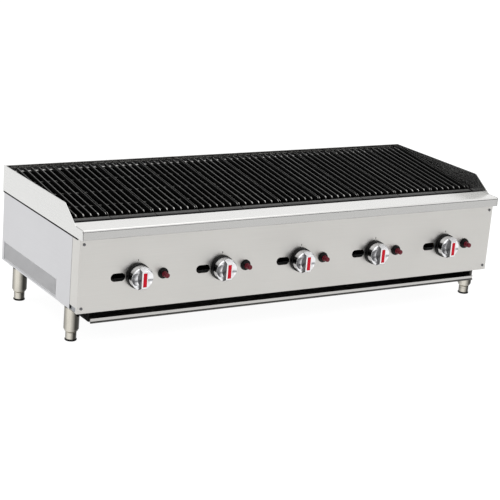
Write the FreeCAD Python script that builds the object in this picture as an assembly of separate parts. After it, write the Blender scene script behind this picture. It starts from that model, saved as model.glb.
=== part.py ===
import FreeCAD, Part
import math
import os

# Five-burner countertop gas charbroiler in stainless sheet on four adjustable legs.
# Millimetres.  X runs to the right seen from the front, Y runs from front to back, Z is up.
# Every shape is drawn with y = 0 on the outer face of the front panel; save() then moves it by
# SHIFT_Y, so that the origin lies on the floor under the middle of the whole machine.

os.makedirs("parts", exist_ok=True)

# ---- driving dimensions -------------------------------------------------------------------------
WIDTH = 1524.0            # over the two splash guards, 60 in
DEPTH = 560.0             # front panel to back, 22 in
BODY_BOTTOM = 105.0       # underside of the cabinet, on 4 in legs
RAIL_TOP = 359.5          # top of the front rail
RAIL_BOTTOM = 329.5       # lower edge of the front rail's nose
GUARD_BOTTOM = 330.0      # lower edge of the side guards
SPLASH_TOP = 410.0        # top of the side and rear guards
SHEET = 1.5               # stainless sheet
GUARD = 3.0               # hemmed double sheet of the side guards

MODULES = 5               # one burner, valve, knob and igniter each
MODULE_PITCH = 284.0
CONTROL_Z = 205.0         # height of the valve stems
SLOT_OFFSET = -64.0       # lighting slot, from the knob
IGNITER_OFFSET = 84.0     # igniter button, from the knob

GRATES = 10
GRATE_PITCH = 151.2
GRATE_WIDTH = 150.4
GRATE_FRONT_Y = 114.0     # lower front corner of the grates
GRATE_FRONT_Z = 328.0
GRATE_LENGTH = 427.0
GRATE_SLOPE = 7.3         # degrees, front low
GRATE_HEIGHT = 24.0

LEG_X = 738.0
LEG_Y = (73.0, 458.0)
LEG_R = 23.0

KNOB_REACH = 49.0         # front of the knob's grip ahead of the front panel
INLET_END = DEPTH + 25.0  # end of the gas inlet behind the machine

# ---- worked out from them -----------------------------------------------------------------------
BODY_HALF = WIDTH / 2 - GUARD
INNER_HALF = BODY_HALF - SHEET
SHIFT_Y = -(INLET_END - KNOB_REACH) / 2
MODULE_X = [(i - (MODULES - 1) / 2) * MODULE_PITCH for i in range(MODULES)]
GRATE_X = [(i - (GRATES - 1) / 2) * GRATE_PITCH for i in range(GRATES)]
SLOPE = math.radians(GRATE_SLOPE)
SIDES = ((-1, "left"), (1, "right"))

V = FreeCAD.Vector
AXIS_X = V(1, 0, 0)
AXIS_Y = V(0, 1, 0)
AXIS_Z = V(0, 0, 1)


# ---- small tools --------------------------------------------------------------------------------
def box(x, y, z):
    """Block between two limits on each axis, in either order."""
    low = [min(pair) for pair in (x, y, z)]
    size = [abs(pair[1] - pair[0]) for pair in (x, y, z)]
    return Part.makeBox(*size, V(*low))


def cylinder(radius, start, axis, length):
    return Part.makeCylinder(radius, length, V(*start), axis)


def cone(radius_1, radius_2, start, axis, length):
    return Part.makeCone(radius_1, radius_2, length, V(*start), axis)


def turned(profile, centre):
    """Solid of revolution about a line along Y; profile holds (radius, y) points."""
    x, z = centre
    points = [V(x + r, y, z) for r, y in profile]
    face = Part.Face(Part.makePolygon(points + points[:1]))
    return face.revolve(V(x, 0, z), AXIS_Y, 360)


def plate_x(outline, x_1, x_2):
    """Prism along X over a closed outline of (y, z) points."""
    points = [V(x_1, y, z) for y, z in outline]
    face = Part.Face(Part.makePolygon(points + points[:1]))
    return face.extrude(V(x_2 - x_1, 0, 0))


def plate_y(outline, y_1, y_2):
    """Prism along Y over a closed outline of (x, z) points."""
    points = [V(x, y_1, z) for x, z in outline]
    face = Part.Face(Part.makePolygon(points + points[:1]))
    return face.extrude(V(0, y_2 - y_1, 0))


def slot_y(x, z, length, height, y_1, y_2):
    """Slot with round ends, long in X, cut along Y."""
    r = height / 2
    run = length / 2 - r
    middle = box((x - run, x + run), (y_1, y_2), (z - r, z + r))
    ends = [cylinder(r, (x + s * run, y_1, z), AXIS_Y, y_2 - y_1) for s in (-1, 1)]
    return middle.multiFuse(ends).removeSplitter()


def offset_path(path, distance):
    """Open (y, z) path moved sideways to its left, with mitred corners."""
    normals = []
    for (y_1, z_1), (y_2, z_2) in zip(path, path[1:]):
        length = math.hypot(y_2 - y_1, z_2 - z_1)
        normals.append((-(z_2 - z_1) / length, (y_2 - y_1) / length))
    moved = []
    for i, (y, z) in enumerate(path):
        a = normals[max(i - 1, 0)]
        b = normals[min(i, len(normals) - 1)]
        scale = distance / (1 + a[0] * b[0] + a[1] * b[1])
        moved.append((y + (a[0] + b[0]) * scale, z + (a[1] + b[1]) * scale))
    return moved


def folded_sheet(path, thickness, x_1, x_2):
    """Sheet folded along an open (y, z) path, lying to the left of it, between two X limits."""
    outline = list(path) + offset_path(path, thickness)[::-1]
    return plate_x(outline, x_1, x_2)


def soften(solid, radius, wanted):
    """Fillet the straight edges that the test picks by their midpoint and direction."""
    edges = []
    for edge in solid.Edges:
        if not isinstance(edge.Curve, Part.Line):
            continue
        a = edge.Vertexes[0].Point
        b = edge.Vertexes[-1].Point
        if wanted((a + b) * 0.5, b - a):
            edges.append(edge)
    return solid.makeFillet(radius, edges)


def along(direction, axis):
    """True where an edge direction is parallel to an axis."""
    return direction.cross(axis).Length < 1e-6 * direction.Length


def on_slope(shape):
    """Carry a shape from the grates' own flat frame to its sloping place on the machine."""
    moved = shape.copy()
    moved.rotate(V(0, 0, 0), AXIS_X, GRATE_SLOPE)
    moved.translate(V(0, GRATE_FRONT_Y, GRATE_FRONT_Z))
    return moved


def slope_z(y, under=0.0):
    """Height of the grates' underside at y, less a thickness measured square to the slope."""
    return GRATE_FRONT_Z + (y - GRATE_FRONT_Y) * math.tan(SLOPE) - under / math.cos(SLOPE)


def save(name, solids):
    """Write one node.  A list becomes a group of separate solids."""
    pieces = solids if isinstance(solids, list) else [solids]
    placed = []
    for piece in pieces:
        found = piece.Solids
        if len(found) != 1 or not piece.isValid():
            raise ValueError("%s: a piece is not one valid solid (%d)" % (name, len(found)))
        solid = found[0].copy()
        solid.translate(V(0, SHIFT_Y, 0))
        placed.append(solid)
    shape = placed[0] if len(placed) == 1 else Part.makeCompound(placed)
    shape.exportStep("parts/%s.step" % name)


# ---- cabinet ------------------------------------------------------------------------------------
PANEL_TOP = 339.0         # side and front sheets run up behind the guards and the rail
BACK_OUT = DEPTH - 1.5    # outer face of the back sheet, under the rear cap's skirt
BACK_IN = DEPTH - 3.0     # inner face of the back sheet
RETURN_DEPTH = 48.0       # the front panel's side returns
CORNER_R = 2.6            # their outer bends
SEAM = 1.6                # gap between a return and the side sheet behind it
NOTCH = (8.0, 16.0)       # depth and height of the notch under each return
FLANGE_DEPTH = 18.0       # the front panel's lower flange
SLOT_SIZE = (47.0, 25.0)  # lighting slot, length and height
SCREW_X = 745.0
SCREW_Z = (120.0, 313.0)
SCREW_R = 2.0
POST = 2.0                # thickness of frame angles
FRAME_Z = BODY_BOTTOM + SHEET
FRAME_LEG = 28.0          # upright leg of the frame bars
VENT_Y = (146.0, 542.0)
VENT_Z = (110.5, 168.0)
BACK_SCREW_X = (-700.0, -350.0, 0.0, 350.0, 740.0)
BACK_SCREW_Z = (120.0, 392.0)
BACK_FACE = (BACK_OUT, DEPTH)       # what each row of heads bears on: the sheet, the cap's skirt
BACK_TOP = 406.0
FLUE_COLUMNS = 8
FLUE_ROWS = 3
FLUE_PITCH = (170.0, 22.0)
FLUE_SIZE = (120.0, 8.0)
FLUE_LOW_Z = 300.0
INLET_X = 690.0
INLET_Z = 150.0
PIPE_R = 13.35            # 3/4 in pipe
RAIL_BACK = 67.0
RAIL_NOSE = -17.7
NOSE_R = 7.0              # outer radii of the rail's bends: top of the nose, its lower edge, rear
HEM_R = 3.0
BEND_R = 1.4
CAP_FRONT = DEPTH - 4.6   # the rear cap is a narrow channel over the back sheet
RAIL_GAP = 1.2            # between the rail's ends and the side guards
STEM_HOLE_R = 7.0
SOCKET_R = 10.8


def panel_screw_places():
    """(x, z) of the four front panel screws."""
    return [(s * SCREW_X, z) for s in (-1, 1) for z in SCREW_Z]


def back_screw_places():
    """(x, y under the head, z) of the back panel screws."""
    return [(x, y, z) for x in BACK_SCREW_X for y, z in zip(BACK_FACE, BACK_SCREW_Z)]


def back_screw_holes(clearance):
    return [cylinder(SCREW_R + clearance, (x, DEPTH - 12, z), AXIS_Y, 14)
            for x, _, z in back_screw_places()]


def front_panel():
    face = box((-BODY_HALF, BODY_HALF), (0, SHEET), (BODY_BOTTOM, PANEL_TOP))
    flange = box((-INNER_HALF, INNER_HALF), (SHEET, FLANGE_DEPTH),
                 (BODY_BOTTOM, BODY_BOTTOM + SHEET))
    notch_y, notch_z = NOTCH[0], BODY_BOTTOM + NOTCH[1]
    returns = []
    for side, _ in SIDES:
        outline = [(SHEET, BODY_BOTTOM), (notch_y, BODY_BOTTOM), (notch_y, notch_z),
                   (RETURN_DEPTH, notch_z), (RETURN_DEPTH, PANEL_TOP), (SHEET, PANEL_TOP)]
        returns.append(plate_x(outline, side * INNER_HALF, side * BODY_HALF))
    panel = face.multiFuse([flange] + returns).removeSplitter()
    panel = soften(panel, CORNER_R, lambda m, d: along(d, AXIS_Z) and m.y < 0.01
                   and abs(m.x) > BODY_HALF - 0.1)
    holes = []
    for x in MODULE_X:
        holes.append(cylinder(STEM_HOLE_R, (x, -1, CONTROL_Z), AXIS_Y, 4))
        holes.append(cylinder(SOCKET_R, (x + IGNITER_OFFSET, -1, CONTROL_Z), AXIS_Y, 4))
        holes.append(slot_y(x + SLOT_OFFSET, CONTROL_Z, *SLOT_SIZE, -1, 3))
    for x, z in panel_screw_places():
        holes.append(cylinder(SCREW_R + 0.1, (x, -1, z), AXIS_Y, 4))
    return panel.cut(Part.makeCompound(holes))


def side_panel(side):
    sheet = box((side * INNER_HALF, side * BODY_HALF), (RETURN_DEPTH + SEAM, BACK_IN - 0.2),
                (BODY_BOTTOM, PANEL_TOP))
    window = box((side * (INNER_HALF - 2), side * (BODY_HALF + 2)), VENT_Y, VENT_Z)
    return sheet.cut(window)


def vent_screen(side):
    """Slotted plate behind the window of a side panel."""
    margin = 6.0
    foot_margin = 1.8     # keeps the screen clear of the base frame
    slot = 3.0
    pitch = 7.0
    land = 3.0            # left above and below each slot inside the window
    plate = box((side * (INNER_HALF - SHEET), side * INNER_HALF),
                (VENT_Y[0] - margin, VENT_Y[1] + margin),
                (VENT_Z[0] - foot_margin, VENT_Z[1] + margin))
    count = int((VENT_Y[1] - VENT_Y[0]) / pitch)
    first = (VENT_Y[0] + VENT_Y[1] - (count - 1) * pitch) / 2
    cuts = []
    for i in range(count):
        y = first + i * pitch
        cuts.append(box((side * (INNER_HALF - 3), side * (INNER_HALF + 1)),
                        (y - slot / 2, y + slot / 2), (VENT_Z[0] + land, VENT_Z[1] - land)))
    return plate.cut(Part.makeCompound(cuts))


def back_panel():
    """Sheet with a hole for the gas inlet and three rows of flue slots."""
    sheet = box((-INNER_HALF, INNER_HALF), (BACK_IN, BACK_OUT), (BODY_BOTTOM, BACK_TOP))
    holes = [cylinder(PIPE_R + 4, (INLET_X, BACK_IN - 2, INLET_Z), AXIS_Y, 6)]
    for column in range(FLUE_COLUMNS):
        x = (column - (FLUE_COLUMNS - 1) / 2) * FLUE_PITCH[0]
        for row in range(FLUE_ROWS):
            z = FLUE_LOW_Z + row * FLUE_PITCH[1]
            holes.append(slot_y(x, z, *FLUE_SIZE, BACK_IN - 2, BACK_OUT + 2))
    return sheet.cut(Part.makeCompound(holes + back_screw_holes(0.1)))


def rear_cap():
    """Inverted channel that closes the top of the back at the height of the guards."""
    path = [(CAP_FRONT, SPLASH_TOP - 13), (CAP_FRONT, SPLASH_TOP), (DEPTH, SPLASH_TOP),
            (DEPTH, SPLASH_TOP - 25)]
    cap = folded_sheet(path, -SHEET, -BODY_HALF + 0.2, BODY_HALF - 0.2)
    cap = cap.cut(Part.makeCompound(back_screw_holes(0.1)))
    return soften(cap, 1.2, lambda m, d: along(d, AXIS_X) and m.z > SPLASH_TOP - 0.01)


def splash_guard(side):
    """Side guard with a sloping front; it also closes the end of the front rail."""
    corner = 18.0
    y_top = 107.0
    y_low = 30.3
    inner = side * BODY_HALF
    outer = side * WIDTH / 2
    outline = [(RAIL_NOSE, GUARD_BOTTOM), (DEPTH, GUARD_BOTTOM), (DEPTH, SPLASH_TOP),
               (y_top, SPLASH_TOP), (y_low, RAIL_TOP), (RAIL_NOSE, RAIL_TOP)]
    guard = plate_x(outline, inner, outer)
    guard = soften(guard, corner, lambda m, d: along(d, AXIS_X) and m.z > SPLASH_TOP - 1
                   and m.y < y_top + 1)
    guard = soften(guard, 7.0, lambda m, d: along(d, AXIS_X) and m.y < RAIL_NOSE + 1
                   and m.z > RAIL_TOP - 1)
    rim = [e for e in guard.Edges if abs(e.CenterOfMass.x - outer) < 0.01
           and e.BoundBox.ZMax > RAIL_TOP - 20 and e.BoundBox.YLength < DEPTH + 1
           and not (e.BoundBox.YLength < 0.01 and e.CenterOfMass.y > DEPTH - 1)]
    return guard.makeFillet(1.2, rim)


def top_rail():
    """Folded rail across the front: nose, flat landing ledge and a return behind it."""
    path = [(-0.2, RAIL_BOTTOM), (RAIL_NOSE, RAIL_BOTTOM), (RAIL_NOSE, RAIL_TOP),
            (RAIL_BACK, RAIL_TOP), (RAIL_BACK, RAIL_TOP - 20)]
    half = BODY_HALF - RAIL_GAP
    rail = folded_sheet(path, -SHEET, -half, half)
    for radius, y, z in ((NOSE_R, RAIL_NOSE, RAIL_TOP),
                         (NOSE_R - SHEET, RAIL_NOSE + SHEET, RAIL_TOP - SHEET),
                         (HEM_R, RAIL_NOSE, RAIL_BOTTOM),
                         (HEM_R - SHEET, RAIL_NOSE + SHEET, RAIL_BOTTOM + SHEET),
                         (BEND_R, RAIL_BACK, RAIL_TOP)):
        rail = soften(rail, radius, lambda m, d: along(d, AXIS_X) and abs(m.y - y) < 0.01
                      and abs(m.z - z) < 0.01)
    return rail


def base_frame():
    """Four angle bars under the cabinet: two long side bars with cross bars between them."""
    rail_in = 700.0
    front_y = SHEET
    rear_y = BACK_IN
    foot = 30.0           # flat leg of the cross bars
    upright = 22.0
    bars = []
    for side, _ in SIDES:
        outline = [(side * rail_in, FRAME_Z), (side * INNER_HALF, FRAME_Z),
                   (side * INNER_HALF, FRAME_Z + POST), (side * (rail_in + POST), FRAME_Z + POST),
                   (side * (rail_in + POST), FRAME_Z + FRAME_LEG), (side * rail_in, FRAME_Z + FRAME_LEG)]
        bars.append(plate_y(outline, front_y, rear_y))
    for outer, inward in ((front_y, 1), (rear_y, -1)):
        outline = [(outer, FRAME_Z), (outer + inward * foot, FRAME_Z),
                   (outer + inward * foot, FRAME_Z + POST), (outer + inward * POST, FRAME_Z + POST),
                   (outer + inward * POST, FRAME_Z + upright), (outer, FRAME_Z + upright)]
        bars.append(plate_x(outline, -rail_in, rail_in))
    holes = [cylinder(BOLT_R + 0.1, (bx, by, FRAME_Z - 1), AXIS_Z, 6)
             for side, _ in SIDES for y in LEG_Y for bx, by in leg_bolt_places(side * LEG_X, y)]
    holes = Part.makeCompound(holes + back_screw_holes(0.05))
    return [bar.cut(holes) for bar in bars]


def corner_posts():
    """Upright angles behind the four corners of the cabinet, standing on the side bars."""
    top = 318.0
    width = 32.0
    posts = []
    for side, _ in SIDES:
        for outer, inward, depth in ((SHEET, 1, 36.0), (BACK_IN, -1, 8.0)):
            x = side * INNER_HALF
            web = box((x, x - side * POST), (outer, outer + inward * depth), (FRAME_Z + POST, top))
            face = box((x - side * POST, x - side * width), (outer, outer + inward * POST),
                       (FRAME_Z + POST, top))
            posts.append(web.fuse(face).removeSplitter())
    holes = [cylinder(SCREW_R + 0.05, (x, 0, z), AXIS_Y, 8) for x, z in panel_screw_places()]
    holes = Part.makeCompound(holes + back_screw_holes(0.05))
    return [post.cut(holes) for post in posts]


# ---- firebox ------------------------------------------------------------------------------------
BOX_HALF = 745.0
BOX_BOTTOM = 166.0
BOX_FRONT = 104.0
BOX_REAR = 536.0
BOX_TOP = 320.0           # ledge of the side sheets, under the eaves of the cabinet
GUTTER_Z = 321.0          # grease gutter between the rail and the grates
GUTTER_LIP = 352.0
SUPPORT = 5.0             # thickness of the grate support bars
EAVE_Z = 256.0            # underside of the bars that carry the radiants
BAR = 5.0                 # height of those bars
NECK_R = 15.0             # burner neck
BURNER_HALF = (22.0, 18.0)
BURNER_Y = (150.0, 490.0)


def firebox_walls():
    """Two side sheets, the front sheet with its grease gutter, and the rear sheet."""
    walls = []
    for side, _ in SIDES:
        outline = [(side * BOX_HALF, BOX_BOTTOM), (side * (BOX_HALF - SHEET), BOX_BOTTOM),
                   (side * (BOX_HALF - SHEET), BOX_TOP), (side * (INNER_HALF - 0.1), BOX_TOP),
                   (side * (INNER_HALF - 0.1), BOX_TOP - SHEET), (side * BOX_HALF, BOX_TOP - SHEET)]
        walls.append(plate_y(outline, BOX_FRONT + 0.1, BOX_REAR - 0.1))
    gutter = [(BOX_FRONT, BOX_BOTTOM), (BOX_FRONT, GUTTER_Z), (RAIL_BACK + SHEET, GUTTER_Z),
              (RAIL_BACK + SHEET, GUTTER_LIP)]
    front = folded_sheet(gutter, SHEET, -BOX_HALF, BOX_HALF)
    holes = [cylinder(NECK_R + 3, (x, BOX_FRONT - 5, CONTROL_Z), AXIS_Y, 10) for x in MODULE_X]
    walls.append(front.cut(Part.makeCompound(holes)))
    walls.append(box((-BOX_HALF, BOX_HALF), (BOX_REAR, BOX_REAR + SHEET),
                     (BOX_BOTTOM, slope_z(BOX_REAR, SUPPORT + 0.2))))
    return walls


def grate_rails():
    """Sloping bars that carry the two ends of every grate."""
    half = INNER_HALF - 0.4
    places = ((-10.0, 22.0), (GRATE_LENGTH - 26.0, GRATE_LENGTH))
    return [on_slope(box((-half, half), y, (-SUPPORT, -0.1))) for y in places]


def support_bars():
    """Cross bars: two under the eaves of the radiants, one under the burners' far ends."""
    half = BOX_HALF - SHEET - 0.1
    burner_under = CONTROL_Z - BURNER_HALF[1]
    return [box((-half, half), (140, 150), (EAVE_Z, EAVE_Z + BAR)),
            box((-half, half), (492, 502), (EAVE_Z, EAVE_Z + BAR)),
            box((-half, half), (470, 482), (burner_under - 8, burner_under - 0.1))]


def burner(x):
    """Cast bar burner: mixer bell, neck through the firebox front, ported body."""
    half_x, half_z = BURNER_HALF
    bell_y = 88.0
    bell_r = 21.0
    mouth_r = 11.0
    port_pitch = 23.0
    port_depth = 3.0
    port_size = (8.0, 3.0)
    body = box((x - half_x, x + half_x), BURNER_Y, (CONTROL_Z - half_z, CONTROL_Z + half_z))
    body = soften(body, half_z / 2, lambda m, d: along(d, AXIS_Y))
    neck = cylinder(NECK_R, (x, bell_y + 10, CONTROL_Z), AXIS_Y, 60)
    bell = cone(bell_r, NECK_R, (x, bell_y, CONTROL_Z), AXIS_Y, 14)
    casting = body.multiFuse([neck, bell])
    mouth = cylinder(mouth_r, (x, bell_y - 8, CONTROL_Z), AXIS_Y, BURNER_Y[0] - bell_y + 6)
    ports = []
    for i in range(14):
        y = BURNER_Y[0] + 20 + i * port_pitch
        z = CONTROL_Z + 3
        for s in (-1, 1):
            ports.append(box((x + s * (half_x - port_depth), x + s * (half_x + 4)),
                             (y, y + port_size[0]), (z, z + port_size[1])))
    return casting.cut(Part.makeCompound([mouth] + ports))


def radiant(x):
    """Bent cast plate over a burner, with two rows of slots."""
    half = 122.0
    low = EAVE_Z + BAR + 0.2
    high = 300.0
    wall = 4.0
    eave = 10.0           # flat strip that rests on the cross bars
    slot_x = (35.0, 80.0)
    slot_width = 10.0
    slot_pitch = 37.0
    front, rear = 136.0, 506.0
    outline = [(x - half, low), (x - half, low + wall), (x, high), (x + half, low + wall),
               (x + half, low), (x + half - eave, low), (x, high - wall - 1),
               (x - half + eave, low)]
    plate = plate_y(outline, front, rear)
    slots = []
    for i in range(9):
        y = front + 24 + i * slot_pitch
        for s in (-1, 1):
            slots.append(box((x + s * slot_x[0], x + s * slot_x[1]), (y, y + slot_width),
                             (low - 10, high + 10)))
    return plate.cut(Part.makeCompound(slots))


def grate(x):
    """Cast grate: flat front bar, drained trough behind it, tall ribs, rear bar and ties."""
    ribs = 7
    rib = 6.0
    front_bar = 22.0
    front_top = 21.0
    trough_end = 36.0
    trough_floor = 8.0
    rear_bar = 12.0
    rear_top = 14.0
    tie = 9.0
    drain = 8.0
    top = GRATE_HEIGHT
    half = GRATE_WIDTH / 2
    pitch = (GRATE_WIDTH - rib) / (ribs - 1)
    end = GRATE_LENGTH
    front = [(front_bar - 1, trough_floor), (trough_end - 4, trough_floor + 2),
             (trough_end - 1, top - 4), (trough_end + 1, top - 1), (trough_end + 4, top)]
    rear = [(end - 6, top), (end - 3, top - 1.5), (end - 2, top - 4), (end - 2, rear_top - 2)]
    edge = [(front_bar - 1, 0)] + front + rear + [(end - 2, 0)]
    inner = [(front_bar - 1, 0)] + front + rear + [(end - 20, 4), (trough_end + 10, 4), (trough_end, 0)]
    pieces = []
    for i in range(ribs):
        middle = -half + rib / 2 + i * pitch
        outline = edge if i in (0, ribs - 1) else inner
        pieces.append(plate_x(outline, middle - rib / 2, middle + rib / 2))
    pieces.append(box((-half, half), (0, front_bar), (0, front_top)))
    pieces.append(box((-half, half), (front_bar - 1, trough_end), (0, trough_floor)))
    pieces.append(box((-half, half), (end - rear_bar, end), (0, rear_top)))
    for y in (end * 0.28, end * 0.52, end * 0.76):
        pieces.append(box((-half + 1, half - 1), (y, y + tie), (4, 4 + tie)))
    casting = pieces[0].multiFuse(pieces[1:]).removeSplitter()
    drains = []
    for i in range(ribs - 1):
        middle = -half + rib / 2 + (i + 0.5) * pitch
        drains.append(box((middle - drain / 2, middle + drain / 2),
                          (front_bar + 2, front_bar + 2 + drain), (-1, trough_floor + 1)))
    casting = casting.cut(Part.makeCompound(drains))
    casting = on_slope(casting)
    casting.translate(V(x, 0, 0))
    return casting


# ---- gas train ----------------------------------------------------------------------------------
MANIFOLD_Y = 45.0
MANIFOLD_END = 672.0
PIPE_WALL = 2.9
STEM_R = 4.0
STEM_END = 50.0            # inner end of the valve stems
NIPPLE_R = 7.0
VALVE_HALF = 13.0
VALVE_Y = (30.0, 60.0)
THREAD_R = 13.1           # plain cylinder in place of the inlet's pipe thread
THREAD_LENGTH = 20.0


def gas_manifold():
    """Pipe across the machine behind the front panel, plugged at its left end."""
    length = 2 * MANIFOLD_END
    pipe = cylinder(PIPE_R, (-MANIFOLD_END, MANIFOLD_Y, INLET_Z), AXIS_X, length)
    plug = cylinder(PIPE_R + 3.5, (-MANIFOLD_END - 10, MANIFOLD_Y, INLET_Z), AXIS_X, 24)
    bore = cylinder(PIPE_R - PIPE_WALL, (-MANIFOLD_END + 8, MANIFOLD_Y, INLET_Z), AXIS_X, length)
    taps = [cylinder(NIPPLE_R + 0.05, (x, MANIFOLD_Y, INLET_Z), AXIS_Z, 20) for x in MODULE_X]
    return pipe.fuse(plug).cut(Part.makeCompound([bore] + taps))


def gas_inlet():
    """Elbow on the manifold's right end and the pipe that runs out through the back."""
    elbow_r = PIPE_R + 5
    grip = 14.0           # how far the elbow reaches over the manifold's end
    ball = Part.makeSphere(elbow_r, V(INLET_X, MANIFOLD_Y, INLET_Z))
    arm_x = cylinder(elbow_r, (MANIFOLD_END - grip, MANIFOLD_Y, INLET_Z), AXIS_X,
                     INLET_X - MANIFOLD_END + grip)
    arm_y = cylinder(elbow_r, (INLET_X, MANIFOLD_Y, INLET_Z), AXIS_Y, 32)
    pipe = cylinder(PIPE_R, (INLET_X, MANIFOLD_Y, INLET_Z), AXIS_Y,
                    INLET_END - THREAD_LENGTH - MANIFOLD_Y)
    thread = cylinder(THREAD_R, (INLET_X, INLET_END - THREAD_LENGTH - 1, INLET_Z), AXIS_Y,
                      THREAD_LENGTH + 1)
    body = ball.multiFuse([arm_x, arm_y, pipe, thread])
    socket = cylinder(PIPE_R + 0.05, (MANIFOLD_END - 20, MANIFOLD_Y, INLET_Z), AXIS_X, 20)
    bore = cylinder(PIPE_R - PIPE_WALL, (INLET_X, MANIFOLD_Y, INLET_Z), AXIS_Y, INLET_END)
    return body.cut(Part.makeCompound([socket, bore]))


def gas_valve(x):
    """Brass valve block with a collar for the stem, standing on a nipple in the manifold."""
    collar_r, collar_y = 9.0, 12.0
    outlet_r, outlet_end = 6.0, 70.0
    seat = INLET_Z + PIPE_R - 2.4      # the nipple ends inside the manifold's wall
    block = box((x - VALVE_HALF, x + VALVE_HALF), VALVE_Y,
                (CONTROL_Z - VALVE_HALF, CONTROL_Z + VALVE_HALF))
    block = soften(block, 2, lambda m, d: along(d, AXIS_Y))
    collar = cylinder(collar_r, (x, collar_y, CONTROL_Z), AXIS_Y, VALVE_Y[0] - collar_y + 2)
    nipple = cylinder(NIPPLE_R, (x, MANIFOLD_Y, seat), AXIS_Z, CONTROL_Z - VALVE_HALF + 1 - seat)
    outlet = cylinder(outlet_r, (x, VALVE_Y[1] - 2, CONTROL_Z), AXIS_Y, outlet_end - VALVE_Y[1] + 2)
    valve = block.multiFuse([collar, nipple, outlet])
    bore = cylinder(STEM_R + 0.05, (x, collar_y - 7, CONTROL_Z), AXIS_Y, STEM_END - collar_y + 7.5)
    return valve.cut(bore)


def orifice_hood(x):
    """Brass spud that feeds the burner's bell from the valve's outlet."""
    start = 70.0
    flat = 8.0
    across = 7.0          # centre to corner of the hexagon
    corners = [(x + across * math.cos(math.radians(a)), CONTROL_Z + across * math.sin(math.radians(a)))
               for a in range(0, 360, 60)]
    hexagon = plate_y(corners, start, start + flat)
    tip = cone(6, 3.5, (x, start + flat, CONTROL_Z), AXIS_Y, 7)
    hood = hexagon.fuse(tip).removeSplitter()
    return hood.cut(cylinder(1.0, (x, start, CONTROL_Z), AXIS_Y, 20))


def pilot_burner(x):
    """Pilot tip and its upright tube, seen through the lighting slot."""
    px = x + SLOT_OFFSET
    py = MANIFOLD_Y + 42
    feed_y = MANIFOLD_Y + PIPE_R + 0.25
    tube = cylinder(2.4, (px, py, INLET_Z + 4), AXIS_Z, CONTROL_Z - INLET_Z - 6)
    feed = box((px - 2, px + 2), (feed_y, py + 1), (INLET_Z - 2, INLET_Z + 2))
    foot = cylinder(4.5, (px, py, INLET_Z - 4), AXIS_Z, 9)
    tip = cylinder(5, (px, py, CONTROL_Z - 3), AXIS_Z, 12)
    hood = box((px - 7, px + 7), (py - 6, py + 6), (CONTROL_Z + 8, CONTROL_Z + 10))
    return tube.multiFuse([feed, foot, tip, hood])


# ---- controls -----------------------------------------------------------------------------------
def igniter_socket(x):
    """Black bezel, barrel through the panel and a nut behind it, bored for the button."""
    cx = x + IGNITER_OFFSET
    profile = [(9.4, -11), (12.0, -11), (13.5, -9.5), (14.0, -5.5), (16.0, -4.5), (16.5, -3),
               (16.5, -0.1), (SOCKET_R - 0.1, -0.1), (SOCKET_R - 0.1, 1.6), (15, 1.6), (15, 8),
               (SOCKET_R - 0.1, 8), (SOCKET_R - 0.1, 26), (4, 26), (4, 24), (9.4, 24)]
    return turned(profile, (cx, CONTROL_Z))


def igniter_button(x):
    """Round push cap on a plunger that slides in the socket."""
    cx = x + IGNITER_OFFSET
    profile = [(0, -31), (5.4, -31), (7.2, -29.6), (7.8, -27), (7.8, -13), (9.0, -12), (9.0, 10),
               (3.6, 10), (3.6, 25), (0, 25)]
    return turned(profile, (cx, CONTROL_Z))


KNOB_R = 38.5             # black skirt
CAP_R = 35.5              # metal cap in front of it
CAP_BACK = -13.1
CAP_EDGE = -32.6          # where the rim starts to slope in
CAP_FACE = -36.0
STEM_TIP = -20.0


def knob_skirt(x):
    """Black skirt ring behind the metal grip."""
    front = CAP_BACK + 0.1
    profile = [(10.2, front), (37.0, front), (37.9, front + 1.2), (KNOB_R, -2.5),
               (KNOB_R - 1, -1.5), (35.5, -1.5), (34.5, front + 3), (10.2, front + 3)]
    return turned(profile, (x, CONTROL_Z))


def rectangle_y(x, y, z, half_x, half_z):
    """Closed rectangular wire in the plane across Y."""
    corners = [V(x + sx * half_x, y, z + sz * half_z)
               for sx, sz in ((-1, -1), (1, -1), (1, 1), (-1, 1), (-1, -1))]
    return Part.makePolygon(corners)


def knob(x):
    """Metal cap with a tapered bar grip between two deep finger scoops, on a bored hub."""
    z = CONTROL_Z
    scoop_x = 20.5
    scoop_r = 26.6
    scoop_floor = -28.0
    bar_base = (15.0, 38.0)           # half width and half height of the bar, at the cap
    bar_front = (9.5, 25.0)           # and at its front
    pointer = (6.2, 21.5, 0.8)        # recess for the red strip: half width, half height, depth
    hub_r = 10.0
    cap = turned([(0, CAP_FACE), (30.8, CAP_FACE), (31.8, CAP_FACE + 0.3), (34.9, CAP_EDGE),
                  (35.3, CAP_EDGE + 1), (CAP_R, CAP_BACK), (0, CAP_BACK)], (x, z))
    scoops = [Part.makeSphere(scoop_r, V(x + s * scoop_x, scoop_floor - scoop_r, z))
              for s in (-1, 1)]
    cap = cap.cut(Part.makeCompound(scoops))
    wires = [rectangle_y(x, y, z, *half) for y, half in ((-26.0, bar_base), (-KNOB_REACH, bar_front))]
    bar = Part.makeLoft(wires, True, True)
    bar = bar.common(cylinder(CAP_R - 0.4, (x, -20, z), AXIS_Y * -1, KNOB_REACH))
    bar = soften(bar, 2.2, lambda m, d: m.y < -KNOB_REACH + 0.1)
    hub = cylinder(hub_r, (x, -4, z), AXIS_Y * -1, -CAP_BACK - 2)
    recess = box((x - pointer[0], x + pointer[0]), (-KNOB_REACH - 1, -KNOB_REACH + pointer[2]),
                 (z - pointer[1], z + pointer[1]))
    bore = cylinder(STEM_R + 0.03, (x, 0, z), AXIS_Y * -1, -STEM_TIP)
    return cap.multiFuse([hub, bar]).cut(Part.makeCompound([recess, bore]))


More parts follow.
